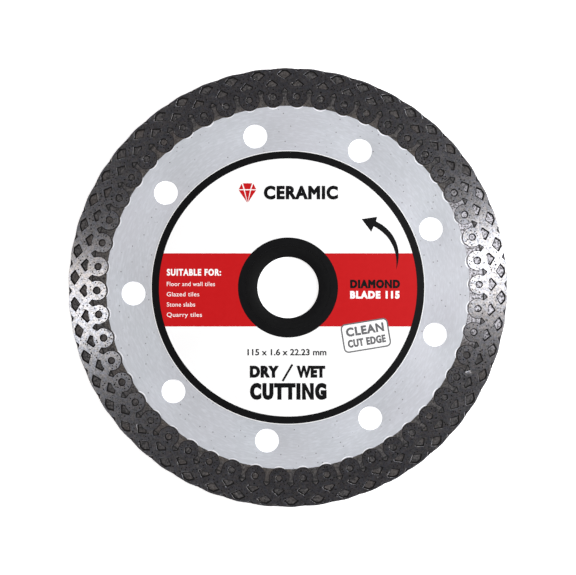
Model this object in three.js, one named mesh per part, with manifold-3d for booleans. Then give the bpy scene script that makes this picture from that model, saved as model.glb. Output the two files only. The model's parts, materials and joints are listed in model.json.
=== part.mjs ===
// A 115 mm diamond blade for cutting tiles and stone with an angle grinder.
//
// A thin steel disc carries a sintered diamond rim round its edge, a paper label on its front and a
// black reducing ring in its bore. The blade lies flat: its axis is Z, the label faces +Z, and the
// origin is the middle of the disc. All sizes are in millimetres and all angles in degrees.

import * as THREE from 'three';
import { mergeVertices } from 'three/addons/utils/BufferGeometryUtils.js';
import Module from 'manifold-3d';

// Driving dimensions

const BLADE_RADIUS = 57.5;
const RIM_THICKNESS = 1.6;
const RIM_INNER_RADIUS = 47.6;
const PATTERN_DEPTH = 0.18;

const CORE_THICKNESS = 1.0;
const CORE_BORE_RADIUS = 11.115;
const COOLING_HOLES = 9;
const COOLING_HOLE_RADIUS = 3.1;
const COOLING_PITCH_RADIUS = 40.45;
const COOLING_START_ANGLE = 22.2;

// The edge of the steel is a toothed tongue that the rim is pressed round.
const TONGUE_RADIUS = 49.5;
const KEY_COUNT = 25;
const KEY_DEPTH = 1.1;
const KEY_HALF_WIDTH = 1.2;

const LABEL_RADIUS = 35.85;
const LABEL_HOLE_RADIUS = 11.13;
const LABEL_THICKNESS = 0.1;

const RING_HOLE_RADIUS = 8;

// Clearance between pieces that touch on the real blade
const GAP = 0.02;

const BORE_SIDES = 60;
const LABEL_SIDES = 120;
const COOLING_HOLE_SIDES = 20;

// The mesh pattern of the rim: equal cells, each centred on one eyelet next to the steel

const CELLS = 50;
const CELL_ANGLE = 360 / CELLS;
const FIRST_EYELET_ANGLE = 0.9;
const EYELET_PITCH_RADIUS = 50;
const EYELET_RADIUS = 2.57;
const EYELET_HOLE_RADIUS = 1;
const EYELET_HOLE_SIDES = 6;
const EYELET_ARC_STEPS = 2;
const ARROW_SHOULDER_RADIUS = 51.24;
const ARROW_TIP_RADIUS = 52.32;
const NOTCH_HALF_ANGLE = 1.5;
const NOTCH_FACE_RADIUS = 56.95;
const NOTCH_EDGE_RADIUS = 57.3;

// Corners of the two windows of a cell, as [radius, angle from the window's centre line]
const KITE_WINDOW = [
  [54.66, 0],
  [53.26, 1.9],
  [52.7, 1.3],
  [52.7, -1.3],
  [53.26, -1.9],
];
const DIAMOND_WINDOW = [
  [57.02, 0],
  [55.85, 2.07],
  [54.5, 0],
  [55.85, -2.07],
];

// Outlines

function polar(radius, degrees) {
  const angle = THREE.MathUtils.degToRad(degrees);
  return new THREE.Vector2(radius * Math.cos(angle), radius * Math.sin(angle));
}

function polygon(radius, sides, centre = new THREE.Vector2(), startAngle = 0) {
  const points = [];
  for (let i = 0; i < sides; i += 1) {
    points.push(polar(radius, startAngle + (i * 360) / sides).add(centre));
  }
  return points;
}

// A closed outline round the blade, repeated once a cell from [radius, angle] corners
function repeated(corners, count, firstAngle) {
  const points = [];
  for (let i = 0; i < count; i += 1) {
    const centre = firstAngle + (i * 360) / count;
    points.push(...corners.map(([radius, angle]) => polar(radius, centre + angle)));
  }
  return points;
}

function plate(outline, holes, bottom, top) {
  const shape = new THREE.Shape(outline);
  shape.holes = holes.map((points) => new THREE.Path(points));
  const geometry = new THREE.ExtrudeGeometry(shape, { depth: top - bottom, bevelEnabled: false });
  return geometry.translate(0, 0, bottom);
}

// Booleans

const wasm = await Module();
wasm.setup();

function toSolid(geometry) {
  const bare = geometry.clone();
  bare.deleteAttribute('normal');
  bare.deleteAttribute('uv');
  const merged = mergeVertices(bare, 1e-5);
  const mesh = new wasm.Mesh({
    numProp: 3,
    vertProperties: new Float32Array(merged.attributes.position.array),
    triVerts: new Uint32Array(merged.index.array),
  });
  return new wasm.Manifold(mesh);
}

function toGeometry(solid) {
  const mesh = solid.getMesh();
  const geometry = new THREE.BufferGeometry();
  geometry.setAttribute('position', new THREE.BufferAttribute(mesh.vertProperties, 3));
  geometry.setIndex(new THREE.BufferAttribute(mesh.triVerts, 1));
  geometry.computeVertexNormals();
  return geometry;
}

// Steel core

// The toothed edge of the steel, grown by a clearance where it is the socket in the rim
function tongueOutline(clearance) {
  const tipRadius = TONGUE_RADIUS + clearance;
  const rootRadius = TONGUE_RADIUS - KEY_DEPTH + clearance;
  const slotHalfAngle = THREE.MathUtils.radToDeg((KEY_HALF_WIDTH - clearance) / TONGUE_RADIUS);
  const toothAngle = 360 / KEY_COUNT;
  return repeated(
    [
      [tipRadius, -toothAngle / 2],
      [tipRadius, -toothAngle / 4],
      [tipRadius, -slotHalfAngle],
      [rootRadius, -slotHalfAngle],
      [rootRadius, slotHalfAngle],
      [tipRadius, slotHalfAngle],
      [tipRadius, toothAngle / 4],
    ],
    KEY_COUNT,
    FIRST_EYELET_ANGLE,
  );
}

function steelCore() {
  const holes = [polygon(CORE_BORE_RADIUS, BORE_SIDES)];
  for (let i = 0; i < COOLING_HOLES; i += 1) {
    const angle = COOLING_START_ANGLE + (i * 360) / COOLING_HOLES;
    const centre = polar(COOLING_PITCH_RADIUS, angle);
    holes.push(polygon(COOLING_HOLE_RADIUS, COOLING_HOLE_SIDES, centre, angle));
  }
  return plate(tongueOutline(0), holes, -CORE_THICKNESS / 2, CORE_THICKNESS / 2);
}

// Diamond rim

// Half of the inner edge of the pattern: round one eyelet from its foot on the steel to its shoulder,
// as [radius, angle] corners on one side of the eyelet
function eyeletSide() {
  const foot = Math.asin((RIM_INNER_RADIUS - EYELET_PITCH_RADIUS) / EYELET_RADIUS);
  const shoulder = Math.asin((ARROW_SHOULDER_RADIUS - EYELET_PITCH_RADIUS) / EYELET_RADIUS);
  const corners = [];
  for (let i = 0; i <= EYELET_ARC_STEPS; i += 1) {
    const turn = THREE.MathUtils.lerp(foot, shoulder, i / EYELET_ARC_STEPS);
    const outward = EYELET_PITCH_RADIUS + EYELET_RADIUS * Math.sin(turn);
    const across = EYELET_RADIUS * Math.cos(turn);
    corners.push([outward, THREE.MathUtils.radToDeg(across / outward)]);
  }
  return corners;
}

function mirrored(corners) {
  return corners.map(([radius, angle]) => [radius, -angle]).reverse();
}

function edgeCorners(notchRadius) {
  return [
    [BLADE_RADIUS, -NOTCH_HALF_ANGLE],
    [notchRadius, 0],
    [BLADE_RADIUS, NOTCH_HALF_ANGLE],
  ];
}

// The raised mesh of one face, sunk a little way into the body under it
function patternPlate(bottom, top) {
  const side = eyeletSide();
  const arrow = [...mirrored(side), ...side, [ARROW_TIP_RADIUS, CELL_ANGLE / 2]];
  const holes = [repeated(arrow, CELLS, FIRST_EYELET_ANGLE)];
  for (let i = 0; i < CELLS; i += 1) {
    const eyeletAngle = FIRST_EYELET_ANGLE + i * CELL_ANGLE;
    const betweenAngle = eyeletAngle + CELL_ANGLE / 2;
    const eyelet = polar(EYELET_PITCH_RADIUS, eyeletAngle);
    holes.push(polygon(EYELET_HOLE_RADIUS, EYELET_HOLE_SIDES, eyelet, eyeletAngle));
    holes.push(repeated(KITE_WINDOW, 1, eyeletAngle));
    holes.push(repeated(DIAMOND_WINDOW, 1, betweenAngle));
  }
  const outline = repeated(edgeCorners(NOTCH_FACE_RADIUS), CELLS, FIRST_EYELET_ANGLE);
  return plate(outline, holes, bottom, top);
}

function diamondRim() {
  const top = RIM_THICKNESS / 2;
  const floor = top - PATTERN_DEPTH;
  const [footRadius, footAngle] = eyeletSide()[0];
  const foot = [
    [footRadius, -footAngle],
    [footRadius, footAngle],
  ];
  const edge = repeated(edgeCorners(NOTCH_EDGE_RADIUS), CELLS, FIRST_EYELET_ANGLE);
  const inner = repeated(foot, CELLS, FIRST_EYELET_ANGLE);
  const body = toSolid(plate(edge, [inner], -floor, floor));
  const socketHalf = CORE_THICKNESS / 2 + GAP;
  const socket = toSolid(plate(tongueOutline(GAP), [], -socketHalf, socketHalf));
  const sink = PATTERN_DEPTH / 4;
  const front = toSolid(patternPlate(floor - sink, top));
  const back = toSolid(patternPlate(-top, sink - floor));
  return toGeometry(body.add(front).add(back).subtract(socket));
}

// Label and reducing ring

function frontLabel() {
  const bottom = CORE_THICKNESS / 2 + GAP;
  const hole = polygon(LABEL_HOLE_RADIUS, BORE_SIDES);
  return plate(polygon(LABEL_RADIUS, LABEL_SIDES), [hole], bottom, bottom + LABEL_THICKNESS);
}

function reducingRing() {
  const half = CORE_THICKNESS / 2;
  const outline = polygon(CORE_BORE_RADIUS - GAP, BORE_SIDES);
  return plate(outline, [polygon(RING_HOLE_RADIUS, BORE_SIDES)], -half, half);
}

// Assembly

const STEEL = { color: 0xc5c8ce, roughness: 0.35, metalness: 1 };
const SINTERED = { color: 0x4a484a, roughness: 0.5, metalness: 0.9 };
const PAPER = { color: 0xf4f3f1, roughness: 0.55, metalness: 0 };
const BLACK_PLASTIC = { color: 0x1c1c1d, roughness: 0.5, metalness: 0 };

const group = new THREE.Group();

function addPiece(name, geometry, finish) {
  const mesh = new THREE.Mesh(geometry, new THREE.MeshStandardMaterial(finish));
  mesh.name = name;
  group.add(mesh);
}

addPiece('steel_core', steelCore(), STEEL);
addPiece('diamond_rim', diamondRim(), SINTERED);
addPiece('front_label', frontLabel(), PAPER);
addPiece('reducing_ring', reducingRing(), BLACK_PLASTIC);

export default group;
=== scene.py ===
import json
import math
import random

import bmesh
import bpy
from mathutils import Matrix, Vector, noise
from mathutils.geometry import delaunay_2d_cdt, interpolate_bezier

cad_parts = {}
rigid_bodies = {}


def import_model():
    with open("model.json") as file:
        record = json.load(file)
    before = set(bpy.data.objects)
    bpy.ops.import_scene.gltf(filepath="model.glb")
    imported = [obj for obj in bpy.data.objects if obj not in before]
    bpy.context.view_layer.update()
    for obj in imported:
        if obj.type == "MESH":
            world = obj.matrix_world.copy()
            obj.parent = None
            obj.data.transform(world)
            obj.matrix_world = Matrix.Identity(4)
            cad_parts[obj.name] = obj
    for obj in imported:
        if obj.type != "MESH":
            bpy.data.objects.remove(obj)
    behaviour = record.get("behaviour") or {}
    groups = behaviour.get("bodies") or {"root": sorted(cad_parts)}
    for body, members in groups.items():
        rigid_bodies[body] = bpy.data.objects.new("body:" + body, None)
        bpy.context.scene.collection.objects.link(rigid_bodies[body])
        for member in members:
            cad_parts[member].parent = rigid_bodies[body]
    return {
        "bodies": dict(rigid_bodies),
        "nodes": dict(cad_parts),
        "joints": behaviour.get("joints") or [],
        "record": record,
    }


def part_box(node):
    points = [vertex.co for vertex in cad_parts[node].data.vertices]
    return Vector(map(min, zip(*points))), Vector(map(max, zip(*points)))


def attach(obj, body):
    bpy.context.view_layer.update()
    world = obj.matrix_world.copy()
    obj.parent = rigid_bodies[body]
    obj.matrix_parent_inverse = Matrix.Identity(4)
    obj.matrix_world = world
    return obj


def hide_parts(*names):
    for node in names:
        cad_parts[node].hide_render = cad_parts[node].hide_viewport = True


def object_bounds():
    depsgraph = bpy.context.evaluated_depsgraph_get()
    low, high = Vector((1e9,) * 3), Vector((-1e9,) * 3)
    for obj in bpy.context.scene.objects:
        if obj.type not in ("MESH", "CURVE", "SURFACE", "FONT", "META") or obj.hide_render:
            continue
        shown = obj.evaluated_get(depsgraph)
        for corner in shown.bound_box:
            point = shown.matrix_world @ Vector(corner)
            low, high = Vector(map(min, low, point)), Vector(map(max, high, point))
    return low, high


# A 115 mm diamond blade lying flat, label up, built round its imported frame. Outlines and heights are
# in millimetres and angles in degrees; MM turns them into Blender's metres.

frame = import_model()
cad_low, cad_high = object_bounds()

MM = 0.001
SEED = 115
RANDOM = random.Random(SEED)
# Vector noise is seeded from the clock until it is given a seed
noise.seed_set(SEED)


# ---------------------------------------------------------------- sizes read from the frame

def reach(node):
    """The nearest and farthest points of a CAD node from the blade's axis, in mm."""
    radii = [v.co.xy.length / MM for v in frame["nodes"][node].data.vertices]
    return min(radii), max(radii)


def heights(node):
    low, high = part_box(node)
    return low.z / MM, high.z / MM


RIM_INNER_RADIUS, BLADE_RADIUS = reach("diamond_rim")
CORE_BORE_RADIUS, TONGUE_RADIUS = reach("steel_core")
LABEL_HOLE_RADIUS, LABEL_RADIUS = reach("front_label")
RING_HOLE_RADIUS, RING_RADIUS = reach("reducing_ring")
RIM_TOP = heights("diamond_rim")[1]
CORE_TOP = heights("steel_core")[1]
LABEL_BOTTOM, LABEL_TOP = heights("front_label")
RING_BOTTOM, RING_TOP = heights("reducing_ring")


# ---------------------------------------------------------------- sizes repeated from the design

COOLING_HOLES = 9
COOLING_HOLE_RADIUS = 3.1
COOLING_PITCH_RADIUS = 40.45
COOLING_START_ANGLE = 22.2
KEY_COUNT = 25
KEY_DEPTH = 1.1
KEY_HALF_WIDTH = 1.2
GAP = 0.02

CELLS = 50
CELL_ANGLE = 360 / CELLS
FIRST_EYELET_ANGLE = 0.9
EYELET_PITCH_RADIUS = 50
EYELET_RADIUS = 2.57
EYELET_FOOT_RADIUS = 2.8
EYELET_HOLE_RADIUS = 1.0
ARROW_SHOULDER_RADIUS = 51.24
ARROW_TIP_RADIUS = 52.32
NOTCH_HALF_ANGLE = 1.1
NOTCH_FACE_RADIUS = 56.5
KITE_WINDOW = [(54.66, 0), (53.26, 1.9), (52.55, 1.3), (52.72, 0), (52.55, -1.3), (53.26, -1.9)]
DIAMOND_WINDOW = [(56.95, -0.7), (56.95, 0.7), (55.85, 2.1), (54.45, 0), (55.85, -2.1)]


# ---------------------------------------------------------------- outlines, anticlockwise

def polar(radius, degrees):
    angle = math.radians(degrees)
    return Vector((radius * math.cos(angle), radius * math.sin(angle)))


def circle(radius, sides, centre=(0, 0), start=0):
    return [Vector(centre) + polar(radius, start + 360 * i / sides) for i in range(sides)]


def in_cell(corners, angle):
    """Corners given as (radius, angle from the cell's centre line) as points of the cell at angle."""
    return [polar(radius, angle + turn) for radius, turn in corners]


def turned(vector, radians):
    c, s = math.cos(radians), math.sin(radians)
    return Vector((c * vector.x - s * vector.y, s * vector.x + c * vector.y))


def bend(way_in, way_out):
    """How far a path turns to the left, in radians."""
    return math.atan2(way_in.x * way_out.y - way_in.y * way_out.x, way_in.dot(way_out))


def rounded(corners, radius, step=22, sharpest=20):
    """The outline with each corner over sharpest degrees turned into an arc of steps of step degrees."""
    points = []
    for i, corner in enumerate(corners):
        way_in = corner - corners[i - 1]
        way_out = corners[(i + 1) % len(corners)] - corner
        turn = bend(way_in, way_out)
        if abs(turn) < math.radians(sharpest):
            points.append(corner)
            continue
        slope = math.tan(abs(turn) / 2)
        tangent = min(radius * slope, 0.45 * way_in.length, 0.45 * way_out.length)
        inward = turned(way_in.normalized(), math.copysign(math.pi / 2, turn))
        start = corner - way_in.normalized() * tangent
        arc = tangent / slope
        steps = max(1, round(math.degrees(abs(turn)) / step))
        for k in range(steps + 1):
            points.append(start + inward * arc - turned(inward, turn * k / steps) * arc)
    return points


def grown(points, distance, longest_mitre=1.8):
    """The outline moved outwards by distance, or inwards by a negative one."""
    result = []
    for i, point in enumerate(points):
        way_in = (point - points[i - 1]).normalized()
        way_out = (points[(i + 1) % len(points)] - point).normalized()
        one, other = Vector((way_in.y, -way_in.x)), Vector((way_out.y, -way_out.x))
        mitre = (one + other) / max(1 + one.dot(other), 0.2)
        if mitre.length > longest_mitre:
            mitre *= longest_mitre / mitre.length
        result.append(point + mitre * distance)
    return result


def is_inside(point, outline):
    odd = False
    for a, b in zip(outline, outline[1:] + outline[:1]):
        if (a.y > point.y) != (b.y > point.y):
            if point.x < a.x + (point.y - a.y) * (b.x - a.x) / (b.y - a.y):
                odd = not odd
    return odd


def distance_to(point, outline):
    nearest = math.inf
    for a, b in zip(outline, outline[1:] + outline[:1]):
        along = b - a
        share = max(0, min(1, (point - a).dot(along) / along.length_squared))
        nearest = min(nearest, (point - a - along * share).length)
    return nearest


# ---------------------------------------------------------------- closed surfaces from level outlines

class Shell:
    """A closed surface put together from level loops of points."""

    def __init__(self):
        self.points = []
        self.faces = []
        self.finishes = []

    def loop(self, outline, height):
        first = len(self.points)
        self.points += [Vector((p.x, p.y, height)) for p in outline]
        return range(first, len(self.points))

    def strip(self, one, other, finish=0):
        """The band between two loops that have as many points."""
        n = len(one)
        for i in range(n):
            k = (i + 1) % n
            self.faces.append((one[i], one[k], other[k], other[i]))
            self.finishes.append(finish)

    def steps(self, outline, levels, finish=0):
        """A stepped wall: one loop for each (growth, height), joined by bands. Returns the loops."""
        loops = [self.loop(grown(outline, growth), height) for growth, height in levels]
        for one, other in zip(loops, loops[1:]):
            self.strip(one, other, finish)
        return loops

    def fill(self, loops, finish=0, inner=()):
        """A face inside the first loop and outside the others, through the inner points."""
        ids = [i for loop in loops for i in loop] + list(inner)
        flat = [self.points[i].xy for i in ids]
        spans, first = [], 0
        for loop in loops:
            spans.append(list(range(first, first + len(loop))))
            first += len(loop)
        _, _, triangles, origins, _, owners = delaunay_2d_cdt(flat, [], spans, 1, 1e-7)
        for triangle, owner in zip(triangles, owners):
            if len(owner) % 2:
                self.faces.append(tuple(ids[origins[k][0]] for k in triangle))
                self.finishes.append(finish)

    def piece(self, name, materials, sharp=40):
        mesh = bpy.data.meshes.new(name)
        mesh.from_pydata([p * MM for p in self.points], [], self.faces)
        for material in materials:
            mesh.materials.append(material)
        mesh.polygons.foreach_set("material_index", self.finishes)
        tidy = bmesh.new()
        tidy.from_mesh(mesh)
        bmesh.ops.recalc_face_normals(tidy, faces=tidy.faces)
        bmesh.ops.triangulate(tidy, faces=[f for f in tidy.faces if len(f.verts) > 3])
        tidy.to_mesh(mesh)
        tidy.free()
        mesh.polygons.foreach_set("use_smooth", [True] * len(mesh.polygons))
        mesh.set_sharp_from_angle(angle=math.radians(sharp))
        piece = bpy.data.objects.new(name, mesh)
        bpy.context.scene.collection.objects.link(piece)
        return piece


# ---------------------------------------------------------------- steel disc

def tongue(clearance):
    """The toothed edge of the steel, which the rim is pressed round."""
    tip = TONGUE_RADIUS + clearance
    root = tip - KEY_DEPTH
    slot = math.degrees((KEY_HALF_WIDTH - clearance) / TONGUE_RADIUS)
    tooth = 360 / KEY_COUNT
    corners = [(tip, -tooth / 2), (tip, -tooth / 4), (tip, -slot), (root, -slot)]
    corners += [(root, slot), (tip, slot), (tip, tooth / 4)]
    points = []
    for i in range(KEY_COUNT):
        points += in_cell(corners, FIRST_EYELET_ANGLE + i * tooth)
    return points


def cooling_hole_centres():
    step = 360 / COOLING_HOLES
    return [polar(COOLING_PITCH_RADIUS, COOLING_START_ANGLE + i * step) for i in range(COOLING_HOLES)]


# How high a lip stands on the steel, how far its sides slope inwards and how wide its ends are
LIP_HEIGHT = 0.05
LIP_SLOPE = 0.02
LIP_END = 0.06


def crescent(angle):
    """The lip that pressing has raised on the steel round the foot of one eyelet."""
    inner = EYELET_FOOT_RADIUS + RANDOM.uniform(0.05, 0.12)
    width = RANDOM.uniform(0.18, 0.34)
    half = RANDOM.uniform(24, 44)
    centre = polar(EYELET_PITCH_RADIUS, angle)
    middle = angle + 180 + RANDOM.uniform(-8, 8)
    steps = 10
    turns = [half * (2 * i / steps - 1) for i in range(steps + 1)]
    outer = [inner + width * (1 - (t / half) ** 2) + LIP_END for t in turns]
    points = [centre + polar(radius, middle + t) for radius, t in zip(outer, turns)]
    return points + [centre + polar(inner, middle + t) for t in reversed(turns)]


def steel_disc(satin, lip_highlight):
    shell = Shell()
    chamfer = 0.03
    top, low = CORE_TOP, CORE_TOP - chamfer
    levels = [(chamfer, top), (chamfer / 3, top - chamfer / 3), (0, low)]
    levels += [(growth, -height) for growth, height in reversed(levels)]
    edge_loops = shell.steps(tongue(0), [(0, top), (0, -top)])
    hole_loops = [shell.steps(circle(CORE_BORE_RADIUS, 180), levels)]
    for centre in cooling_hole_centres():
        hole_loops.append(shell.steps(circle(COOLING_HOLE_RADIUS, 72, centre), levels))
    for side, end in ((1, 0), (-1, -1)):
        loops = [edge_loops[end]] + [loops[end] for loops in hole_loops]
        for cell in range(CELLS):
            lip = crescent(FIRST_EYELET_ANGLE + cell * CELL_ANGLE)
            # The lips take the near-white finish of painted highlight
            lip_levels = [(0, side * top), (-LIP_SLOPE, side * (top + LIP_HEIGHT))]
            foot, crest = shell.steps(lip, lip_levels, 1)
            shell.fill([crest], 1)
            loops.append(foot)
        shell.fill(loops)
    return shell.piece("steel_disc", [satin, lip_highlight])


# ---------------------------------------------------------------- sintered rim

# The wall and crease finishes are painted dark as shade on the pattern's walls, pits, nicks and creases
GROUND, WALL, ROUGH, SHADED_CREASE = 0, 1, 2, 3
PATTERN_DEPTH = 0.2
# How far the edge of the raised mesh is grown into it, and how far below its top that is
EDGE_PROFILE = [(0.04, 0), (0.012, 0.012), (0, 0.035), (-0.07, 0.14), (-0.15, PATTERN_DEPTH)]
# Where the wall of a window ends in a crease and where that reaches the floor: the share of the
# window's size that is left, and how far below the ground top
WINDOW_PROFILE = [(0.93, 0.14), (0.86, PATTERN_DEPTH)]
# The part of a window's floor inside its creases of painted shade, and how far it leans towards the
# axis, as shares of the window's size. The lean widens that painted shade on the outer side, as a
# shadow.
CLEAR_FLOOR = 0.73
FLOOR_LEAN = 0.075
OUTER_PROFILE = [(-0.07, 0), (-0.02, 0.03), (0, 0.08), (0, PATTERN_DEPTH)]
OUTER_LEDGE = 0.05
# The outer edge: how far it dips towards each notch, the nick in the dip, and its roughness
EDGE_DIP, EDGE_NICK, EDGE_ROUGHNESS = 0.16, 0.07, 0.05
EDGE_SAMPLES = 12
FOOT_SAMPLES = 16
DEEPEST_CHIP = 0.14
# Nicks and pits of the ground top: their sizes, how many there are or are tried in a cell, and how
# far they keep from each other and from the edges
NICK = [(1, 0), (0.6, 0.5), (-0.7, 0.55), (-1, 0), (-0.6, -0.5), (0.7, -0.45)]
NICK_SIZES, NICK_COUNTS = (0.2, 0.31), (2, 8)
PIT_SIZES, PIT_TRIES = (0.13, 0.26), 60
PIT_RADII = (47.9, 57.0)
PIT_DEPTH = 0.09
BLEMISH_GAP, EYELET_MARGIN, NOTCH_MARGIN = 0.1, 0.08, 0.25
NOTCH_REACH = 2
FARTHEST_PIT = 56.7
# The uneven points on the floor of each gap: how many, where they start and how far apart they are
GAP_POINTS, GAP_POINTS_START, GAP_POINTS_STEP = 10, 47.9, 0.4
GAP_UNEVENNESS = 0.03
# The same for the floor of a window
FLOOR_POINTS = 9
WINDOW_UNEVENNESS = 0.035


def shaken(corners, amount):
    """Corners moved a little at random, because no two pressed windows are quite alike."""
    return [p + Vector((RANDOM.uniform(-1, 1), RANDOM.uniform(-1, 1))) * amount for p in corners]


def eyelet_and_gap(angle):
    """One cell of the inner edge of the raised mesh: round the steel side of the eyelet, then the
    arrow-shaped tip of the gap that follows it."""
    shoulder = math.degrees(math.acos((ARROW_SHOULDER_RADIUS - EYELET_PITCH_RADIUS) / EYELET_RADIUS))
    centre = polar(EYELET_PITCH_RADIUS, angle)
    steps = 20
    sweep = 360 - 2 * shoulder
    points = []
    for i in range(steps + 1):
        towards = polar(1, angle - shoulder - sweep * i / steps)
        place = centre + towards * EYELET_RADIUS
        broken = 0.9 * max(0, noise.noise(Vector((place.x * 2.3, place.y * 2.3, 11))) - 0.22)
        points.append(place - towards * min(broken, DEEPEST_CHIP))
    return points + [polar(ARROW_TIP_RADIUS, angle + CELL_ANGLE / 2)]


def edge_radius(turn, angle):
    """The rim's slightly lumpy outer edge, turn degrees from the centre line of the cell at angle."""
    dip = EDGE_DIP * (1 + math.cos(2 * math.pi * turn / CELL_ANGLE)) / 2
    nick = EDGE_NICK * max(0, 1 - abs(turn) / 0.5)
    place = polar(BLADE_RADIUS, angle + turn)
    rough = EDGE_ROUGHNESS * (1 + noise.noise(Vector((place.x * 0.6, place.y * 0.6, 0))))
    return BLADE_RADIUS - dip - nick - rough * (1 - 0.3 * abs(turn) / CELL_ANGLE)


def outer_edge():
    points = []
    for cell in range(CELLS):
        angle = FIRST_EYELET_ANGLE + cell * CELL_ANGLE
        for i in range(EDGE_SAMPLES):
            turn = CELL_ANGLE * (i / EDGE_SAMPLES - 0.5)
            points.append(polar(edge_radius(turn, angle), angle + turn))
    return points


def mesh_outline():
    """The outer edge of the raised mesh: just inside the rim's edge, with an open notch in each cell."""
    points = []
    for cell in range(CELLS):
        angle = FIRST_EYELET_ANGLE + cell * CELL_ANGLE
        turns = [-CELL_ANGLE / 2, -2.9, -2.1, -NOTCH_HALF_ANGLE, 0, NOTCH_HALF_ANGLE, 2.1, 2.9]
        corners = [(edge_radius(turn, angle) - OUTER_LEDGE, turn) for turn in turns]
        corners[4] = (NOTCH_FACE_RADIUS + RANDOM.uniform(-0.1, 0.1), 0)
        points += in_cell(corners, angle)
    return rounded(points, 0.25, sharpest=24)


def foot_outline():
    """Where the rim's body ends on the steel: a circle that bulges inwards round each eyelet."""
    points = []
    for cell in range(CELLS):
        angle = FIRST_EYELET_ANGLE + cell * CELL_ANGLE
        for i in range(FOOT_SAMPLES):
            turn = CELL_ANGLE * (i / FOOT_SAMPLES - 0.5)
            radius = RIM_INNER_RADIUS
            across = EYELET_PITCH_RADIUS * math.sin(math.radians(turn))
            if abs(across) < EYELET_FOOT_RADIUS:
                depth = math.sqrt(EYELET_FOOT_RADIUS**2 - across**2)
                radius = min(radius, EYELET_PITCH_RADIUS * math.cos(math.radians(turn)) - depth)
            place = polar(radius, angle + turn)
            ragged = 0.03 * noise.noise(Vector((place.x * 1.7, place.y * 1.7, 3)))
            points.append(polar(radius + ragged, angle + turn))
    return points


def scattered(shell, outline, height):
    """Points inside a window's floor at uneven heights, which make it rough."""
    middle = sum(outline, Vector((0, 0))) / len(outline)
    first = len(shell.points)
    for _ in range(FLOOR_POINTS):
        towards = RANDOM.choice(outline) - middle
        place = middle + towards * RANDOM.uniform(0.15, 0.72)
        uneven = RANDOM.uniform(-WINDOW_UNEVENNESS, WINDOW_UNEVENNESS)
        shell.points.append(Vector((place.x, place.y, height + uneven)))
    return range(first, len(shell.points))


def shrunk(outline, share, lean=0.0):
    """The outline scaled towards its middle, which moves towards the axis by lean of its size."""
    middle = sum(outline, Vector((0, 0))) / len(outline)
    size = sum((p - middle).length for p in outline) / len(outline)
    moved = middle * (1 - lean * size / middle.length)
    return [moved + (p - middle) * share for p in outline]


def window(shell, outline, side, top_loops):
    """One recess of the raised mesh, from the ground top down to its rough floor."""
    levels = [(growth, side * (RIM_TOP - depth)) for growth, depth in EDGE_PROFILE[:3]]
    loops = shell.steps(outline, levels, GROUND)
    height = side * (RIM_TOP - PATTERN_DEPTH)
    lower = []
    for share, depth in WINDOW_PROFILE:
        lower.append(shell.loop(shrunk(outline, share), side * (RIM_TOP - depth)))
    floor = shrunk(outline, CLEAR_FLOOR, FLOOR_LEAN)
    clear = shell.loop(floor, height)
    shell.strip(loops[-1], lower[0], WALL)
    # The crease bands are painted shade at the feet of the walls
    shell.strip(lower[0], lower[1], SHADED_CREASE)
    shell.strip(lower[1], clear, SHADED_CREASE)
    top_loops.append(loops[0])
    shell.fill([clear], ROUGH, scattered(shell, floor, height))


def pit(place, size, towards):
    """A ragged round hole in the ground top."""
    spokes = [turned(towards, math.radians(60 * i)) * size for i in range(6)]
    return [place + spoke * RANDOM.uniform(0.75, 1.15) for spoke in spokes]


def nick(place, size, towards):
    """A short cut in the ground top, along towards."""
    across = turned(towards, math.pi / 2)
    return [place + (towards * x + across * y) * size for x, y in NICK]


def blemishes(windows, angle):
    """The pits and nicks of the ground top of one cell, as outlines."""
    found, outlines = [], []
    eyelet = polar(EYELET_PITCH_RADIUS, angle)

    def is_free(place, size):
        return all((place - o).length > size + other_size + BLEMISH_GAP for o, other_size in found)

    for _ in range(RANDOM.randint(*NICK_COUNTS)):
        towards = polar(1, angle + 180 + RANDOM.uniform(-100, 100))
        size = RANDOM.uniform(*NICK_SIZES)
        place = eyelet + towards * (EYELET_RADIUS - DEEPEST_CHIP - EYELET_MARGIN - size)
        if is_free(place, size):
            found.append((place, size))
            outlines.append(nick(place, size, towards))
    for _ in range(PIT_TRIES):
        size = RANDOM.uniform(*PIT_SIZES)
        clear = 0.06 + 1.1 * size
        radius = RANDOM.uniform(*PIT_RADII)
        widest = CELL_ANGLE / 2 - math.degrees(clear / radius)
        turn = RANDOM.uniform(-widest, widest)
        place = polar(radius, angle + turn)
        from_eyelet = (place - eyelet).length
        on_eyelet = EYELET_HOLE_RADIUS + clear < from_eyelet < EYELET_RADIUS - DEEPEST_CHIP - clear
        farthest = NOTCH_FACE_RADIUS - NOTCH_MARGIN if abs(turn) < NOTCH_REACH else FARTHEST_PIT
        on_ribs = ARROW_TIP_RADIUS + BLEMISH_GAP + clear < place.length < farthest - clear
        if not (on_eyelet or on_ribs) or not is_free(place, size):
            continue
        if any(is_inside(place, w) or distance_to(place, w) < clear for w in windows):
            continue
        found.append((place, size))
        outlines.append(pit(place, size, polar(1, RANDOM.uniform(0, 60))))
    return outlines


def cell_windows(angle):
    """The eyelet hole, kite and diamond windows of one cell."""
    eyelet = polar(EYELET_PITCH_RADIUS, angle)
    hole = shaken(circle(EYELET_HOLE_RADIUS * RANDOM.uniform(0.94, 1.04), 20, eyelet), 0.02)
    kite = rounded(shaken(in_cell(KITE_WINDOW, angle), 0.05), 0.12, sharpest=26)
    diamond = in_cell(DIAMOND_WINDOW, angle + CELL_ANGLE / 2)
    return [hole, kite, rounded(shaken(diamond, 0.05), 0.14)]


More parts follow.
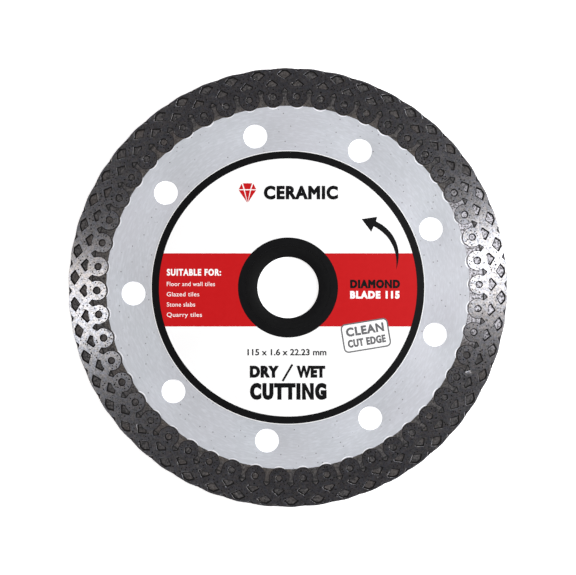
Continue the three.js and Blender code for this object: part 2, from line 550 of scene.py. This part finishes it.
def pressed_face(shell, side, edge, foot):
    """One face of the rim: the raised mesh with its windows, down to the body's two edges."""
    top_loops = []
    outline = mesh_outline()
    levels = [(growth, side * (RIM_TOP - depth)) for growth, depth in OUTER_PROFILE]
    outer = shell.steps(outline, levels, GROUND)
    top_loops.append(outer[0])
    inner_corners = []
    for cell in range(CELLS):
        inner_corners += eyelet_and_gap(FIRST_EYELET_ANGLE + cell * CELL_ANGLE)
    inner_outline = rounded(inner_corners, 0.18)
    levels = [(growth, side * (RIM_TOP - depth)) for growth, depth in EDGE_PROFILE]
    inner = shell.steps(inner_outline, levels, WALL)
    top_loops.append(inner[0])

    cells = [cell_windows(FIRST_EYELET_ANGLE + i * CELL_ANGLE) for i in range(CELLS)]
    for cell, windows in enumerate(cells):
        for outline in windows:
            window(shell, outline, side, top_loops)
        near = windows[1:] + [cells[cell - 1][2], cells[(cell + 1) % CELLS][1]]
        for blemish in blemishes(near, FIRST_EYELET_ANGLE + cell * CELL_ANGLE):
            levels = [(0, side * RIM_TOP), (-0.02, side * (RIM_TOP - PIT_DEPTH))]
            top, bottom = shell.steps(blemish, levels, WALL)
            shell.fill([bottom], WALL)
            top_loops.append(top)
    shell.fill(top_loops, GROUND)

    gap_points = range(len(shell.points), len(shell.points) + GAP_POINTS * CELLS)
    for cell in range(CELLS):
        middle = FIRST_EYELET_ANGLE + (cell + 0.5) * CELL_ANGLE
        for i in range(GAP_POINTS):
            radius = GAP_POINTS_START + GAP_POINTS_STEP * i
            place = polar(radius, middle + RANDOM.uniform(-0.35, 0.35))
            height = RIM_TOP - PATTERN_DEPTH + RANDOM.uniform(-GAP_UNEVENNESS, GAP_UNEVENNESS)
            shell.points.append(Vector((place.x, place.y, side * height)))
    shell.fill([inner[-1], foot], ROUGH, gap_points)
    # The ledge under each notch takes the wall finish's painted shade
    shell.fill([edge, outer[-1]], WALL)


def weathered(point):
    """A vertex of the rim moved a little, smoothly over the rim and not above its ground top."""
    drift = noise.noise_vector(point * 1.3)
    fine = noise.noise_vector(point * 4 + Vector((7, 0, 0)))
    return point + Vector((drift.x, drift.y, 0)) * 0.045 + Vector((fine.x, fine.y, 0)) * 0.018


def sintered_rim(materials):
    shell = Shell()
    edge = outer_edge()
    foot = foot_outline()
    socket_half = CORE_TOP + GAP
    body_half = RIM_TOP - PATTERN_DEPTH - 0.01
    edge_levels = [(-0.03, body_half), (0, body_half - 0.15), (0, 0.15 - body_half), (-0.03, -body_half)]
    edge_loops = shell.steps(edge, edge_levels, GROUND)
    socket = shell.steps(tongue(GAP), [(0, socket_half), (0, -socket_half)], WALL)
    # The foot slopes onto the steel in the wall finish: a line of painted shade round the body
    foot_levels = [(0, body_half - 0.03), (-0.07, CORE_TOP + 0.003)]
    for side, end in ((1, 0), (-1, -1)):
        levels = [(growth, side * height) for growth, height in foot_levels]
        foot_loops = shell.steps(foot, levels, WALL)
        pressed_face(shell, side, edge_loops[end], foot_loops[0])
        shell.fill([socket[end], foot_loops[-1]], WALL)
    shell.points = [weathered(p) for p in shell.points]
    return shell.piece("pressed_rim", materials, sharp=20)


# ---------------------------------------------------------------- label

BORDER_OUTER_RADIUS = 35.67
BORDER_INNER_RADIUS = 33.74
HUB_RADIUS = 13.09
BAND_TOP, BAND_BOTTOM = 8.95, -10.2
INK = 0.01


def glyph_outlines(body, tracking=1.0):
    """The outlines of a line of text in Blender's own font, flat, at any size."""
    curve = bpy.data.curves.new("text", "FONT")
    curve.body = body
    curve.space_character = tracking
    holder = bpy.data.objects.new("text", curve)
    bpy.context.scene.collection.objects.link(holder)
    bpy.context.view_layer.update()
    bpy.ops.object.select_all(action="DESELECT")
    holder.select_set(True)
    bpy.context.view_layer.objects.active = holder
    bpy.ops.object.convert(target="CURVE")
    outlines = []
    for spline in bpy.context.object.data.splines:
        points = []
        ends = list(spline.bezier_points)
        for a, b in zip(ends, ends[1:] + ends[:1]):
            straight = a.handle_right_type == "VECTOR" and b.handle_left_type == "VECTOR"
            steps = 2 if straight else 7
            path = interpolate_bezier(a.co, a.handle_right, b.handle_left, b.co, steps)
            points += [p.xy for p in path[:-1]]
        outlines.append(without_doubles(points))
    bpy.data.objects.remove(bpy.context.object)
    return [outline for outline in outlines if len(outline) > 2]


def without_doubles(points, nearest=1e-4):
    kept = []
    for point in points:
        if not kept or (point - kept[-1]).length > nearest:
            kept.append(point)
    if (kept[0] - kept[-1]).length < nearest:
        kept.pop()
    return kept


def box_of(outlines):
    xs = [p.x for outline in outlines for p in outline]
    ys = [p.y for outline in outlines for p in outline]
    return min(xs), min(ys), max(xs), max(ys)


def area(outline):
    return sum(a.x * b.y - a.y * b.x for a, b in zip(outline, outline[1:] + outline[:1])) / 2


def text(body, left, right, baseline, cap_height, weight=0, tracking=1.0):
    """A line of text that fills left to right, with capitals of that height. Its strokes are fattened
    by weight, and tracking keeps fat letters apart."""
    outlines = glyph_outlines(body, tracking)
    cap = box_of(glyph_outlines("H"))
    rise = (cap_height - 2 * weight) / (cap[3] - cap[1])
    low, _, high, _ = box_of(outlines)
    run = (right - left - 2 * weight) / (high - low)
    placed = []
    for outline in outlines:
        spread = [((p.x - low) * run, p.y * rise) for p in outline]
        fitted = [Vector((left + weight + x, baseline + weight + y)) for x, y in spread]
        placed.append(grown(fitted, weight) if weight else fitted)
    return placed


def tilted(outlines, slope, pivot):
    centre = Vector(pivot)
    return [[centre + turned(p - centre, math.radians(slope)) for p in o] for o in outlines]


def arrow():
    """The curved arrow that gives the direction of turning."""
    tip, barb_out, barb_in = Vector((19.26, 17.9)), Vector((23.35, 18.5)), Vector((21.75, 14.6))
    root_out, root_in, tail = Vector((23.0, 17.3)), Vector((22.4, 16.0)), Vector((28.3, 4.7))
    outer = interpolate_bezier(tail, Vector((30.3, 10.6)), Vector((27.4, 15.3)), root_out, 24)
    inner = interpolate_bezier(root_in, Vector((26.0, 14.2)), Vector((28.9, 10.4)), tail, 24)
    return [Vector(p) for p in [*outer, barb_out, tip, barb_in, *inner[:-1]]]


def gem(left, bottom, width, height):
    """A cut stone seen from the side, in six facets."""
    seam = 0.13
    girdle = 0.66
    facets = [
        [(0, girdle), (0.34, girdle), (0.2, 1)],
        [(0.34, girdle), (0.66, girdle), (0.78, 1), (0.22, 1)],
        [(0.66, girdle), (1, girdle), (0.8, 1)],
        [(0, girdle), (0.5, 0), (0.33, girdle)],
        [(0.33, girdle), (0.5, 0), (0.67, girdle)],
        [(0.67, girdle), (0.5, 0), (1, girdle)],
    ]
    outlines = []
    for facet in facets:
        corners = [Vector((left + x * width, bottom + y * height)) for x, y in facet]
        if area(corners) < 0:
            corners.reverse()
        outlines.append(grown(corners, -seam))
    return outlines


def bar(start, end, width):
    start, end = Vector(start), Vector(end)
    side = turned((end - start).normalized(), math.pi / 2) * width / 2
    return [start - side, end - side, end + side, start + side]


def red_band():
    """The band across the label, with ends that follow the black border."""
    radius = (BORDER_INNER_RADIUS + BORDER_OUTER_RADIUS) / 2
    top, bottom = (math.degrees(math.asin(y / radius)) for y in (BAND_TOP, BAND_BOTTOM))
    turns = [bottom + (top - bottom) * i / 16 for i in range(17)]
    right = [polar(radius, t) for t in turns]
    return right + [Vector((-p.x, p.y)) for p in reversed(right)]


def badge():
    """The tilted badge over the band's lower edge, in three layers: frame, paper and words."""
    left, right, bottom, top = 14.8, 27.3, -17.3, -9.7
    margin = 1.25
    corners = [Vector(c) for c in ((left, bottom), (right, bottom), (right, top), (left, top))]
    frame = rounded(corners, margin)
    words = text("CLEAN", left + margin, right - margin, bottom + 4.15, 2.35, 0.15, 1.15)
    words += text("CUT EDGE", left + margin, right - margin, bottom + 1.25, 2.05, 0.13, 1.15)
    layers = [[frame], [grown(frame, -0.36)], words]
    return [tilted(layer, 9.3, (left, bottom)) for layer in layers]


def label_artwork():
    """The print, as layers from the bottom to the top: (ink, outlines)."""
    black = text("CERAMIC", -6.33, 13.1, 23.05, 3.55, 0.25, 1.15)
    black += text("DIAMOND", 16.25, 29.3, -0.2, 2.24, 0.19, 1.2)
    black += text("DRY", -10.0, -2.5, -23.6, 3.15, 0.27, 1.15)
    black += text("WET", 2.3, 9.75, -23.6, 3.15, 0.27, 1.15)
    black += [bar((-1.42, -24.5), (1.15, -20.1), 0.55)]
    black += text("CUTTING", -9.95, 10.1, -29.35, 4.35, 0.36, 1.3)
    black += text("115 x 1.6 x 22.23 mm", -10.6, 10.05, -17.75, 1.65, 0.06)
    black += [arrow()]
    white = text("SUITABLE FOR:", -31.7, -17.5, 3.1, 1.75, 0.10, 1.2)
    uses = ("Floor and wall tiles", "Glazed tiles", "Stone slabs", "Quarry tiles")
    ends = (-19.1, -23.2, -24.3, -22.5)
    for line, (use, end) in enumerate(zip(uses, ends)):
        white += text(use, -31.7, end, 0.38 - 2.68 * line, 1.1, 0.008, 1.05)
    white += text("BLADE 115", 16.25, 29.2, -2.9, 2.0, 0.155, 1.2)
    frame, plate, words = badge()
    return [
        ("red", [red_band()]),
        ("black", [circle(BORDER_OUTER_RADIUS, 240), circle(BORDER_INNER_RADIUS, 240)[::-1]]),
        ("black", [circle(HUB_RADIUS, 180)]),
        ("red", gem(-13.1, 22.0, 5.0, 5.4)),
        ("black", black),
        ("white", white),
        ("grey", frame),
        ("white", plate),
        ("grey", words),
    ]


def winding(point, outline):
    """How many times the outline goes round the point, anticlockwise."""
    turns = 0
    for a, b in zip(outline, outline[1:] + outline[:1]):
        if (a.y > point.y) != (b.y > point.y):
            if point.x < a.x + (point.y - a.y) * (b.x - a.x) / (b.y - a.y):
                turns += 1 if b.y > a.y else -1
    return turns


def printed_regions(layers, outer, hole):
    """Cuts the label's face into triangles and sorts them by the ink that is on top."""
    loops = [(outer, -1), (hole[::-1], -1)]
    for number, (_, outlines) in enumerate(layers):
        loops += [(outline, number) for outline in outlines]
    flat, edges = [], []
    for loop, _ in loops:
        first = len(flat)
        flat += loop
        edges += [(first + i, first + (i + 1) % len(loop)) for i in range(len(loop))]
    corners, _, triangles, _, _, _ = delaunay_2d_cdt(flat, edges, [], 0, 1e-6, False)
    boxes = [box_of([loop]) for loop, _ in loops]
    regions = {}
    for triangle in triangles:
        middle = sum((corners[k] for k in triangle), Vector((0, 0))) / 3
        turns = {}
        for (loop, number), (left, bottom, right, top) in zip(loops, boxes):
            if left < middle.x < right and bottom < middle.y < top:
                turns[number] = turns.get(number, 0) + winding(middle, loop)
        if turns.get(-1, 0) < 1:
            continue
        inks = [layers[number][0] for number in sorted(turns) if number >= 0 and turns[number] > 0]
        ink = inks[-1] if inks else "white"
        regions.setdefault(ink, []).append(triangle)
    return corners, regions


def ink_layer(name, corners, triangles, material):
    """A thin closed layer of ink on the paper, over the given triangles."""
    shell = Shell()
    used = sorted({k for triangle in triangles for k in triangle})
    flat = [corners[k] for k in used]
    top, bottom = shell.loop(flat, LABEL_TOP), shell.loop(flat, LABEL_TOP - INK)
    place = {k: i for i, k in enumerate(used)}
    edges = {}
    for triangle in triangles:
        a = [place[k] for k in triangle]
        shell.faces.append(tuple(top[i] for i in a))
        shell.faces.append(tuple(bottom[i] for i in reversed(a)))
        for i, k in zip(a, a[1:] + a[:1]):
            edges[i, k] = edges.get((i, k), 0) + 1
    for i, k in edges:
        if (k, i) not in edges:
            shell.faces.append((top[k], top[i], bottom[i], bottom[k]))
    shell.finishes = [0] * len(shell.faces)
    return shell.piece(name, [material])


def paper_disc(material):
    """The label's paper, thinly rounded at its cut edges."""
    shell = Shell()
    top = LABEL_TOP - INK
    edge = 0.02
    outer = [(-edge, top), (0, top - edge), (0, LABEL_BOTTOM)]
    inner = [(0, top), (0, LABEL_BOTTOM)]
    outer_loops = shell.steps(circle(LABEL_RADIUS, 360), outer)
    inner_loops = shell.steps(circle(LABEL_HOLE_RADIUS, 180), inner)
    for end in (0, -1):
        shell.fill([outer_loops[end], inner_loops[end]])
    return shell.piece("label_paper_disc", [material])


# ---------------------------------------------------------------- reducing ring

def bore_ring(material):
    shell = Shell()
    bevel = 0.14
    steps = [(bevel, 0), (bevel * 0.4, bevel * 0.15), (bevel * 0.1, bevel * 0.5), (0, bevel)]
    levels = [(growth, RING_TOP - depth) for growth, depth in steps]
    levels += [(growth, RING_BOTTOM + depth) for growth, depth in reversed(steps)]
    hole = shell.steps(circle(RING_HOLE_RADIUS, 180), levels)
    edge = [(-growth / 8, height) for growth, height in levels]
    rim = shell.steps(circle(RING_RADIUS, 180), edge)
    for end in (0, -1):
        shell.fill([rim[end], hole[end]])
    return shell.piece("bore_ring", [material])


# ---------------------------------------------------------------- materials

# The sector of the rim where glare from the right softbox is painted pale: the direction of its
# middle, in radians, and the cosines of the angles from there where it starts and is complete
PAINTED_GLARE_ANGLE = math.radians(7)
PAINTED_GLARE_EDGES = (0.90, 0.975)
# The radii, in metres, where the neck between two eyelets drops into its arrow-shaped tip, and
# between which the walls of that tip lie, where painted shade darkens the floors and walls
TIP_LINE = 0.05115
TIP_WALLS = (0.0511, 0.0526)


def colour(red, green, blue):
    return (red, green, blue, 1)


class Finish:
    """A material under construction: short calls that add nodes and return their outputs."""

    def __init__(self, name, **sockets):
        self.material = bpy.data.materials.new(name)
        self.material.use_nodes = True
        self.tree = self.material.node_tree
        self.shader = self.tree.nodes["Principled BSDF"]
        for socket, value in sockets.items():
            self.shader.inputs[socket.replace("_", " ")].default_value = value
        self.place = self.node("ShaderNodeTexCoord").outputs["Object"]

    def node(self, kind, inputs=(), **settings):
        made = self.tree.nodes.new(kind)
        for setting, value in settings.items():
            setattr(made, setting, value)
        for socket, value in dict(inputs).items():
            self.set(made.inputs[socket], value)
        return made

    def set(self, socket, value):
        if isinstance(value, bpy.types.NodeSocket):
            self.tree.links.new(value, socket)
        else:
            socket.default_value = value

    def shade(self, socket, value):
        self.set(self.shader.inputs[socket], value)

    def maths(self, operation, a, b=0.0, clamp=False):
        return self.node("ShaderNodeMath", {0: a, 1: b}, operation=operation, use_clamp=clamp).outputs[0]

    def noise(self, scale, detail=2, roughness=0.5, vector=None):
        inputs = {"Vector": vector or self.place, "Scale": scale, "Detail": detail}
        return self.node("ShaderNodeTexNoise", {**inputs, "Roughness": roughness}).outputs["Fac"]

    def cells(self, scale, output="Distance"):
        """Small cells scattered over the surface: the distance to the nearest, or its random colour."""
        return self.node("ShaderNodeTexVoronoi", {"Vector": self.place, "Scale": scale}).outputs[output]

    def spread(self, value, low, high, to_low=0.0, to_high=1.0):
        inputs = {"Value": value, "From Min": low, "From Max": high, "To Min": to_low, "To Max": to_high}
        return self.node("ShaderNodeMapRange", inputs).outputs["Result"]

    def blend(self, share, one, other):
        made = self.node("ShaderNodeMix", data_type="RGBA")
        for socket, value in ((made.inputs[0], share), (made.inputs[6], one), (made.inputs[7], other)):
            self.set(socket, value)
        return made.outputs[2]

    def round_axis(self, around, across):
        """Coordinates that stretch a pattern into arcs round the blade: around is how fast it changes
        with direction, across how fast it changes with radius, per metre."""
        wide = self.vectors("SCALE", {0: self.direction(), "Scale": around})["Vector"]
        deep = self.node("ShaderNodeCombineXYZ", {"Z": self.maths("MULTIPLY", self.radius(), across)})
        return self.vectors("ADD", {0: wide, 1: deep.outputs[0]})["Vector"]

    def vectors(self, operation, inputs):
        return self.node("ShaderNodeVectorMath", inputs, operation=operation).outputs

    def from_axis(self):
        """The place without its height."""
        return self.vectors("MULTIPLY", {0: self.place, 1: (1, 1, 0)})["Vector"]

    def direction(self):
        """The way out from the axis, of length 1."""
        return self.vectors("NORMALIZE", {0: self.from_axis()})["Vector"]

    def radius(self):
        """Distance from the axis, in metres."""
        return self.vectors("LENGTH", {0: self.from_axis()})["Value"]

    def painted_glare(self):
        """1 in the sector of the rim where glare from the right softbox is painted, 0 elsewhere."""
        middle = (math.cos(PAINTED_GLARE_ANGLE), math.sin(PAINTED_GLARE_ANGLE), 0)
        along = self.vectors("DOT_PRODUCT", {0: self.direction(), 1: middle})["Value"]
        return self.spread(along, *PAINTED_GLARE_EDGES)

    def bump(self, height, strength, distance):
        """Bumps of that height in metres."""
        inputs = {"Height": height, "Strength": strength, "Distance": distance}
        self.shade("Normal", self.node("ShaderNodeBump", inputs).outputs[0])

    def grain_round_axis(self):
        """Grinding marks run round the blade, so highlights lie across them."""
        tangent = self.node("ShaderNodeTangent", direction_type="RADIAL", axis="Z")
        self.shade("Tangent", tangent.outputs[0])
        self.shade("Anisotropic Rotation", 0.25)


def steel_finish():
    """Satin steel: bluish grey, with faint clouding, fine marks round the axis and a few specks."""
    f = Finish("ground_steel", Metallic=0.0, Anisotropic=0.5, Specular_IOR_Level=0.2)
    streaks = f.noise(1, 3, 0.6, f.round_axis(9, 5200))
    fine = f.noise(1, 2, 0.5, f.round_axis(30, 16000))
    cloud = f.noise(38, 3, 0.55)
    base = f.blend(f.spread(cloud, 0.35, 0.65), colour(0.491, 0.511, 0.542), colour(0.521, 0.527, 0.566))
    base = f.blend(f.spread(streaks, 0.35, 0.8, 0, 0.3), base, colour(0.62, 0.64, 0.70))
    marks = f.noise(1, 2, 0.5, f.round_axis(26, 2300))
    base = f.blend(f.spread(marks, 0.46, 0.72, 0, 0.45), base, colour(0.66, 0.68, 0.73))
    picked = f.spread(f.cells(700, "Color"), 0.42, 0.44)
    spots = f.maths("MULTIPLY", f.spread(f.cells(700), 0.08, 0.14, 1, 0), picked)
    base = f.blend(f.maths("MULTIPLY", spots, 0.85), base, colour(0.13, 0.12, 0.13))
    f.shade("Base Color", base)
    f.shade("Roughness", f.spread(f.maths("ADD", streaks, fine), 0.6, 1.4, 0.40, 0.54))
    f.grain_round_axis()
    f.bump(f.maths("ADD", fine, f.maths("MULTIPLY", streaks, 1.5)), 0.35, 0.000012)
    return f.material


def lip_highlight_finish():
    """Steel where the press has raised it into lips, painted near white as a highlight."""
    f = Finish("steel_lip_painted_highlight", Metallic=0.15)
    worn = f.noise(1300, 3, 0.6)
    # Near-white steel: a painted highlight on the lips
    base = f.blend(f.spread(worn, 0.35, 0.6), colour(0.76, 0.78, 0.83), colour(0.95, 0.95, 0.98))
    f.shade("Base Color", base)
    f.shade("Roughness", f.spread(worn, 0.3, 0.7, 0.5, 0.38))
    f.bump(worn, 0.3, 0.00001)
    return f.material


def ground_finish():
    """The sintered metal where it has been ground bright, mottled and full of pores."""
    f = Finish("ground_sinter", Metallic=1.0, Anisotropic=1.0)
    pores = f.spread(f.noise(3600, 3, 0.6), 0.32, 0.38, 1, 0)
    mottle = f.noise(2300, 4, 0.7)
    cloud = f.noise(700, 3, 0.6)
    tint = f.noise(1100, 2)
    base = f.blend(f.spread(tint, 0.42, 0.58), colour(0.335, 0.341, 0.380), colour(0.397, 0.378, 0.378))
    dull = f.maths("ADD", f.spread(mottle, 0.42, 0.58, 0.7, 0), f.spread(cloud, 0.4, 0.6, 0.25, 0))
    base = f.blend(f.maths("MULTIPLY", dull, 0.75), base, colour(0.11, 0.105, 0.10))
    base = f.blend(f.maths("MULTIPLY", pores, 0.9), base, colour(0.012, 0.011, 0.011))
    glints = f.spread(f.cells(3000), 0.0, 0.14, 1, 0)
    picked = f.spread(f.cells(3000, "Color"), 0.80, 0.84)
    f.shade("Base Color", f.blend(f.maths("MULTIPLY", glints, picked), base, colour(0.85, 0.84, 0.80)))
    rough = f.spread(mottle, 0.3, 0.7, 0.47, 0.42)
    f.shade("Roughness", f.maths("MAXIMUM", rough, f.maths("MULTIPLY", pores, 0.8)))
    f.grain_round_axis()
    f.bump(f.maths("SUBTRACT", f.maths("MULTIPLY", mottle, 0.6), pores), 0.5, 0.00002)
    return f.material


def wall_finish():
    """Sinter on the sloping walls of the pattern and in its nicks and pits: dark sinter painted darker
    still as shade, lighter in the sector of painted glare, and painted almost black as shade round the
    arrow tips."""
    f = Finish("pressed_wall", Metallic=0.0, Roughness=0.9, Specular_IOR_Level=0.15)
    radius = f.radius()
    grains = f.noise(1800, 3, 0.6)
    base = f.blend(grains, colour(0.012, 0.011, 0.012), colour(0.034, 0.031, 0.033))
    # Walls lighter in the sector of painted glare
    base = f.blend(f.maths("MULTIPLY", f.painted_glare(), 0.9), base, colour(0.085, 0.082, 0.09))
    # Painted shade: the walls round the arrow tips almost black
    near, far = TIP_WALLS
    past_near = f.spread(radius, near - 0.0001, near + 0.0001)
    at_tip = f.maths("MULTIPLY", past_near, f.spread(radius, far - 0.0001, far + 0.0001, 1, 0))
    f.shade("Base Color", f.blend(at_tip, base, colour(0.003, 0.003, 0.003)))
    f.bump(f.noise(3000, 3), 0.5, 0.00003)
    return f.material


def crease_shade_finish():
    """Painted shade in the creases at the feet of the windows' walls: sinter painted almost black, a
    little lighter in the sector of painted glare.
    """
    f = Finish("crease_painted_shade", Metallic=0.0, Roughness=0.9, Specular_IOR_Level=0.15)
    base = f.blend(f.noise(1800, 3, 0.6), colour(0.002, 0.002, 0.002), colour(0.012, 0.011, 0.011))
    f.shade("Base Color", f.blend(f.painted_glare(), base, colour(0.012, 0.0115, 0.013)))
    f.bump(f.noise(3000, 3), 0.5, 0.00003)
    return f.material


def rough_finish():
    """The unground floors of the windows: dark brown-grey sinter with pale grit that is partly painted
    glint, tan by the steel, painted pale as glare where the right softbox falls, and dark as painted
    shade at the arrow tips."""
    f = Finish("rough_sinter", Metallic=0.0, Specular_IOR_Level=0.3)
    grains = f.cells(2900)
    mottle = f.noise(1900, 4, 0.7)
    speckle = f.noise(1900, 2, 0.6)
    radius = f.radius()
    dark, light = colour(0.004, 0.004, 0.005), colour(0.088, 0.082, 0.082)
    base = f.blend(f.spread(speckle, 0.35, 0.65), dark, light)
    rusty = f.spread(f.noise(170, 1), 0.48, 0.62, 0, 0.3)
    base = f.blend(rusty, base, colour(0.080, 0.062, 0.052))
    near_steel = f.spread(radius, 0.0474, 0.0495, 1, 0)
    tan = f.maths("MULTIPLY", near_steel, f.spread(f.noise(1300), 0.42, 0.60), True)
    base = f.blend(f.maths("MULTIPLY", tan, 0.4), base, colour(0.12, 0.098, 0.075))
    # Painted shade: the arrow tips' floors keep less of the painted glare
    within = f.spread(radius, 0.0523, 0.0525, 1, 0)
    tip = f.maths("MULTIPLY", f.spread(radius, TIP_LINE, TIP_LINE + 0.0001), within)
    # Floors painted pale as glare in the sector that faces the right softbox
    painted_glare = f.maths("MULTIPLY", f.painted_glare(), f.spread(speckle, 0.41, 0.55, 0.12, 1))
    painted_glare = f.maths("MULTIPLY", painted_glare, f.maths("SUBTRACT", 1, f.maths("MULTIPLY", tip, 0.75)))
    base = f.blend(painted_glare, base, colour(0.68, 0.665, 0.72))
    # Pale grit specks: partly the grit's own colour, partly painted glints
    picked = f.spread(f.cells(2900, "Color"), 0.80, 0.84)
    glint = f.maths("MULTIPLY", picked, f.spread(grains, 0.15, 0.30, 1, 0), True)
    base = f.blend(f.maths("MULTIPLY", glint, 0.5), base, colour(0.5, 0.48, 0.45))
    # A dark ring painted as shade at the line where the necks drop into the arrow tips
    from_line = f.maths("ABSOLUTE", f.maths("SUBTRACT", radius, TIP_LINE))
    base = f.blend(f.spread(from_line, 0.00012, 0.00024, 1, 0), base, colour(0.004, 0.004, 0.004))
    f.shade("Base Color", base)
    f.shade("Roughness", f.spread(glint, 0, 1, 0.6, 0.35))
    f.bump(f.maths("ADD", grains, f.maths("MULTIPLY", mottle, 1.5)), 0.6, 0.00005)
    return f.material


def paper_finish():
    f = Finish("coated_paper", IOR=1.45)
    fibres = f.noise(2400, 4, 0.6)
    shade = f.spread(f.noise(120, 3), 0.3, 0.7)
    f.shade("Base Color", f.blend(shade, colour(0.955, 0.955, 0.95), colour(0.98, 0.98, 0.975)))
    f.shade("Roughness", f.spread(fibres, 0.3, 0.7, 0.5, 0.62))
    f.bump(fibres, 0.15, 0.00001)
    return f.material


def ink_finish(name, dark, light):
    """A printed solid: nearly even, with the faint mottle of ink on paper."""
    f = Finish(name, IOR=1.45)
    mottle = f.noise(900, 4, 0.6)
    fibres = f.noise(2400, 4)
    f.shade("Base Color", f.blend(f.spread(mottle, 0.3, 0.7), dark, light))
    f.shade("Roughness", f.spread(fibres, 0.3, 0.7, 0.38, 0.46))
    f.shade("Specular IOR Level", 0.12)
    f.bump(fibres, 0.12, 0.00001)
    return f.material


def plastic_finish():
    f = Finish("black_plastic", IOR=1.48)
    grain = f.noise(3200, 3, 0.6)
    rub = f.spread(f.noise(1, 3, 0.6, f.round_axis(8, 3000)), 0.45, 0.75)
    rubbed = f.maths("MULTIPLY", rub, 0.5)
    base = f.blend(rubbed, colour(0.003, 0.003, 0.0033), colour(0.007, 0.007, 0.0075))
    f.shade("Base Color", base)
    f.shade("Roughness", f.spread(grain, 0.3, 0.7, 0.38, 0.5))
    f.shade("Specular IOR Level", 0.12)
    f.bump(grain, 0.25, 0.00002)
    return f.material


# ---------------------------------------------------------------- the blade

def add_piece(piece, node=None):
    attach(piece, "root")
    if node:
        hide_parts(node)


def build_label():
    paper = paper_disc(paper_finish())
    add_piece(paper, "front_label")
    outer = circle(LABEL_RADIUS - 0.02, 360)
    hole = circle(LABEL_HOLE_RADIUS - 0.04, 180)
    corners, regions = printed_regions(label_artwork(), outer, hole)
    inks = {
        "black": (colour(0.0035, 0.0035, 0.004), colour(0.005, 0.005, 0.0055)),
        "red": (colour(0.535, 0.0075, 0.0095), colour(0.555, 0.0090, 0.0110)),
        "grey": (colour(0.13, 0.13, 0.135), colour(0.16, 0.16, 0.166)),
    }
    for ink, (dark, light) in inks.items():
        finish = ink_finish("ink_" + ink, dark, light)
        layer = ink_layer("label_print_" + ink, corners, regions[ink], finish)
        add_piece(layer)


add_piece(steel_disc(steel_finish(), lip_highlight_finish()), "steel_core")
rim_finishes = [ground_finish(), wall_finish(), rough_finish(), crease_shade_finish()]
add_piece(sintered_rim(rim_finishes), "diamond_rim")
build_label()
add_piece(bore_ring(plastic_finish()), "reducing_ring")


# ---------------------------------------------------------------- studio

def add_floor():
    mesh = bpy.data.meshes.new("floor")
    half = 1.5
    level = cad_low.z - 0.00002
    corners = [(-half, -half, level), (half, -half, level), (half, half, level), (-half, half, level)]
    mesh.from_pydata(corners, [], [(0, 1, 2, 3)])
    f = Finish("pale_floor", Roughness=0.8, Emission_Strength=0.7)
    f.shade("Emission Color", colour(1, 1, 1))
    f.shade("Base Color", f.blend(f.noise(3, 3), colour(0.86, 0.86, 0.86), colour(0.88, 0.88, 0.88)))
    mesh.materials.append(f.material)
    floor = bpy.data.objects.new("floor", mesh)
    bpy.context.scene.collection.objects.link(floor)


def add_light(name, azimuth, elevation, distance, size, power, tint=(1, 1, 1)):
    """A soft rectangular light that faces the blade. size is (across, up) in metres."""
    light = bpy.data.lights.new(name, "AREA")
    light.shape = "RECTANGLE"
    light.size, light.size_y = size
    light.energy = power
    light.color = tint
    holder = bpy.data.objects.new(name, light)
    a, e = math.radians(azimuth), math.radians(elevation)
    towards = Vector((math.cos(a) * math.cos(e), math.sin(a) * math.cos(e), math.sin(e)))
    holder.location = towards * distance
    holder.rotation_euler = towards.to_track_quat("Z", "Y").to_euler()
    bpy.context.scene.collection.objects.link(holder)


def add_world():
    """Dim overhead and pale at the horizon, so that flat metal seen from above stays dark."""
    world = bpy.data.worlds.new("studio")
    world.use_nodes = True
    bpy.context.scene.world = world
    tree = world.node_tree
    coordinates = tree.nodes.new("ShaderNodeTexCoord")
    split = tree.nodes.new("ShaderNodeSeparateXYZ")
    ramp = tree.nodes.new("ShaderNodeMapRange")
    tree.links.new(coordinates.outputs["Generated"], split.inputs[0])
    tree.links.new(split.outputs["Z"], ramp.inputs["Value"])
    for socket, value in {"From Min": 0.0, "From Max": 0.8, "To Min": 0.45, "To Max": 0.13}.items():
        ramp.inputs[socket].default_value = value
    tree.links.new(ramp.outputs["Result"], tree.nodes["Background"].inputs["Strength"])
    tree.nodes["Background"].inputs["Color"].default_value = (0.97, 0.94, 1, 1)


def add_camera():
    """Straight above the blade, with the label's top towards the top of the picture."""
    lens, frame_width = 135, 0.15061
    camera = bpy.data.cameras.new("camera")
    camera.lens = lens
    distance = frame_width * lens / camera.sensor_width
    holder = bpy.data.objects.new("camera", camera)
    holder.location = (0, 0, cad_high.z + distance)
    camera.clip_start = 0.01
    bpy.context.scene.collection.objects.link(holder)
    bpy.context.scene.camera = holder


add_floor()
add_light("right_softbox", 8.5, 51, 1.2, (0.12, 0.4), 9.1, (0.96, 0.985, 1))
add_light("left_softbox", 178, 28, 0.6, (0.06, 0.13), 1.15, (1, 0.93, 0.85))
add_light("right_kicker", 7, 60, 0.25, (0.05, 0.05), 0.2)
add_world()
add_camera()
bpy.context.scene.view_settings.view_transform = "Standard"
